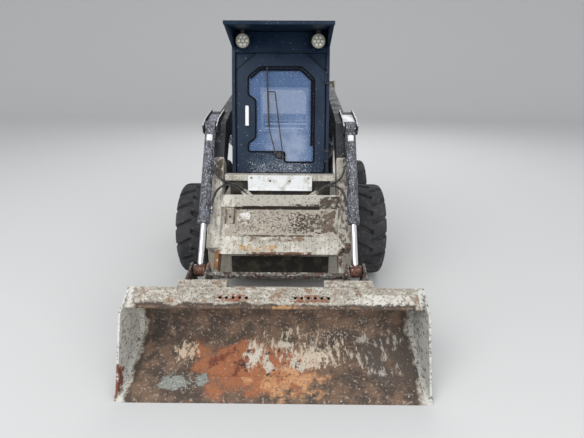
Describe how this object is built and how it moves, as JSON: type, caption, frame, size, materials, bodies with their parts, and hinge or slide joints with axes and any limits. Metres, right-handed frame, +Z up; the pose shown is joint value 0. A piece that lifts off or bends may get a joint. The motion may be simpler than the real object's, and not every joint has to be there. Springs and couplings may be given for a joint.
{
  "type": "skid steer loader",
  "caption": "Skid steer loader with a dark closed cab, cream lift arms and a worn bucket tipped onto its cutting edge.",
  "frame": {"origin": "on the ground, half-way along the machine, on its centre line", "axes": "+Z up, the machine faces -Y, +X is the left of a driver who looks ahead"},
  "size_m": [1.732, 3.3058, 1.99],
  "materials": {
    "cab_paint": "dull",
    "black_paint": "satin",
    "cream_paint": "dull",
    "frame_paint": "dull",
    "bucket_paint": "worn",
    "worn_steel": "worn",
    "chrome_rod": "polished",
    "tyre_rubber": "matte",
    "rim_paint": "dull",
    "engine_iron": "rough",
    "cab_glass": "clear",
    "seat_cover": "grained",
    "black_plastic": "matte",
    "white_plastic": "satin",
    "hose_rubber": "matte"
  },
  "bodies": {
    "machine": {"main_frame": "frame_paint", "front_panel": "frame_paint", "front_sill": "cream_paint", "sill_plate": "cream_paint", "towers": "frame_paint", "bay_sides": "frame_paint", "engine_cover": "black_paint", "rear_bumper": "frame_paint", "engine_block": "engine_iron", "cab_sides": "cab_paint", "side_glass": "cab_glass", "cab_roof": "cab_paint", "cab_back": "cab_paint", "rear_glass": "cab_glass", "cab_floor": "cab_paint", "cab_front": "cab_paint", "door_hinges": "black_paint", "seat_base": "black_paint", "seat_cushion": "seat_cover", "seat_backrest": "seat_cover", "levers": "black_plastic", "lap_bar": "black_paint", "work_lamps": "black_plastic", "axles": "worn_steel"},
    "arms": {"arm_beams": "black_paint", "arm_legs": "cream_paint", "arm_crossmember": "cream_paint", "knee_brackets": "black_paint", "left_upper_hose": "hose_rubber", "left_lower_hose": "hose_rubber", "right_upper_hose": "hose_rubber", "right_lower_hose": "hose_rubber"},
    "bucket_tool": {"coupler": "cream_paint", "bucket": "bucket_paint", "cutting_edge": "worn_steel"},
    "cab_door": {"door_panel": "cab_paint", "door_glass": "cab_glass", "door_handle": "white_plastic"},
    "rear_door": {"tailgate": "black_paint"},
    "front_left_wheel": {"front_left_tyre": "tyre_rubber", "front_left_rim": "rim_paint"},
    "front_right_wheel": {"front_right_tyre": "tyre_rubber", "front_right_rim": "rim_paint"},
    "rear_left_wheel": {"rear_left_tyre": "tyre_rubber", "rear_left_rim": "rim_paint"},
    "rear_right_wheel": {"rear_right_tyre": "tyre_rubber", "rear_right_rim": "rim_paint"},
    "left_lift_barrel": {"left_lift_barrel": "black_paint"},
    "left_lift_rod": {"left_lift_rod": "chrome_rod"},
    "left_tilt_barrel": {"left_tilt_barrel": "black_paint"},
    "left_tilt_rod": {"left_tilt_rod": "chrome_rod"},
    "right_lift_barrel": {"right_lift_barrel": "black_paint"},
    "right_lift_rod": {"right_lift_rod": "chrome_rod"},
    "right_tilt_barrel": {"right_tilt_barrel": "black_paint"},
    "right_tilt_rod": {"right_tilt_rod": "chrome_rod"}
  },
  "joints": [
    {"name": "arm_lift", "type": "hinge", "parent": "machine", "child": "arms", "pos_m": [0, 1.257, 1.47], "axis": [-1, 0, 0], "range_deg": [0, 60]},
    {"name": "bucket_tilt", "type": "hinge", "parent": "arms", "child": "bucket_tool", "pos_m": [0, -0.92415, 0.30784], "axis": [1, 0, 0], "range_deg": [-48, 80]},
    {"name": "door_swing", "type": "hinge", "parent": "machine", "child": "cab_door", "pos_m": [0.327, -0.32149, 1.32776], "axis": [0, 0.2656, 0.9641], "range_deg": [0, 90]},
    {"name": "tailgate_swing", "type": "hinge", "parent": "machine", "child": "rear_door", "pos_m": [0.384, 1.643, 0.8], "axis": [0, 0, -1], "range_deg": [0, 100]},
    {"name": "front_left_spin", "type": "hinge", "parent": "machine", "child": "front_left_wheel", "pos_m": [0.715, -0.013, 0.385], "axis": [1, 0, 0], "continuous": true},
    {"name": "front_right_spin", "type": "hinge", "parent": "machine", "child": "front_right_wheel", "pos_m": [-0.715, -0.013, 0.385], "axis": [1, 0, 0], "continuous": true},
    {"name": "rear_left_spin", "type": "hinge", "parent": "machine", "child": "rear_left_wheel", "pos_m": [0.715, 0.974, 0.385], "axis": [1, 0, 0], "continuous": true},
    {"name": "rear_right_spin", "type": "hinge", "parent": "machine", "child": "rear_right_wheel", "pos_m": [-0.715, 0.974, 0.385], "axis": [1, 0, 0], "continuous": true},
    {"name": "left_lift_swing", "type": "hinge", "parent": "machine", "child": "left_lift_barrel", "pos_m": [0.4525, 1.187, 0.76], "axis": [-1, 0, 0], "range_deg": [0, 43]},
    {"name": "left_lift_stroke", "type": "slide", "parent": "left_lift_barrel", "child": "left_lift_rod", "axis": [0, -0.9291, 0.3698], "range_m": [0, 0.606]},
    {"name": "left_tilt_swing", "type": "hinge", "parent": "arms", "child": "left_tilt_barrel", "pos_m": [0.508, -0.333, 1.3], "axis": [1, 0, 0], "range_deg": [-3, 2]},
    {"name": "left_tilt_stroke", "type": "slide", "parent": "left_tilt_barrel", "child": "left_tilt_rod", "axis": [0, -0.6088, -0.7934], "range_m": [-0.1, 0.17]},
    {"name": "right_lift_swing", "type": "hinge", "parent": "machine", "child": "right_lift_barrel", "pos_m": [-0.4525, 1.187, 0.76], "axis": [-1, 0, 0], "range_deg": [0, 43]},
    {"name": "right_lift_stroke", "type": "slide", "parent": "right_lift_barrel", "child": "right_lift_rod", "axis": [0, -0.9291, 0.3698], "range_m": [0, 0.606]},
    {"name": "right_tilt_swing", "type": "hinge", "parent": "arms", "child": "right_tilt_barrel", "pos_m": [-0.508, -0.333, 1.3], "axis": [1, 0, 0], "range_deg": [-3, 2]},
    {"name": "right_tilt_stroke", "type": "slide", "parent": "right_tilt_barrel", "child": "right_tilt_rod", "axis": [0, -0.6088, -0.7934], "range_m": [-0.1, 0.17]}
  ],
  "couplings": [
    {"joint": "left_lift_swing", "follows": "arm_lift", "ratio": 0.715},
    {"joint": "left_lift_stroke", "follows": "arm_lift", "m_per_rad": 0.5775},
    {"joint": "left_tilt_swing", "follows": "bucket_tilt", "ratio": -0.03},
    {"joint": "left_tilt_stroke", "follows": "bucket_tilt", "m_per_rad": 0.117},
    {"joint": "right_lift_swing", "follows": "arm_lift", "ratio": 0.715},
    {"joint": "right_lift_stroke", "follows": "arm_lift", "m_per_rad": 0.5775},
    {"joint": "right_tilt_swing", "follows": "bucket_tilt", "ratio": -0.03},
    {"joint": "right_tilt_stroke", "follows": "bucket_tilt", "m_per_rad": 0.117}
  ]
}
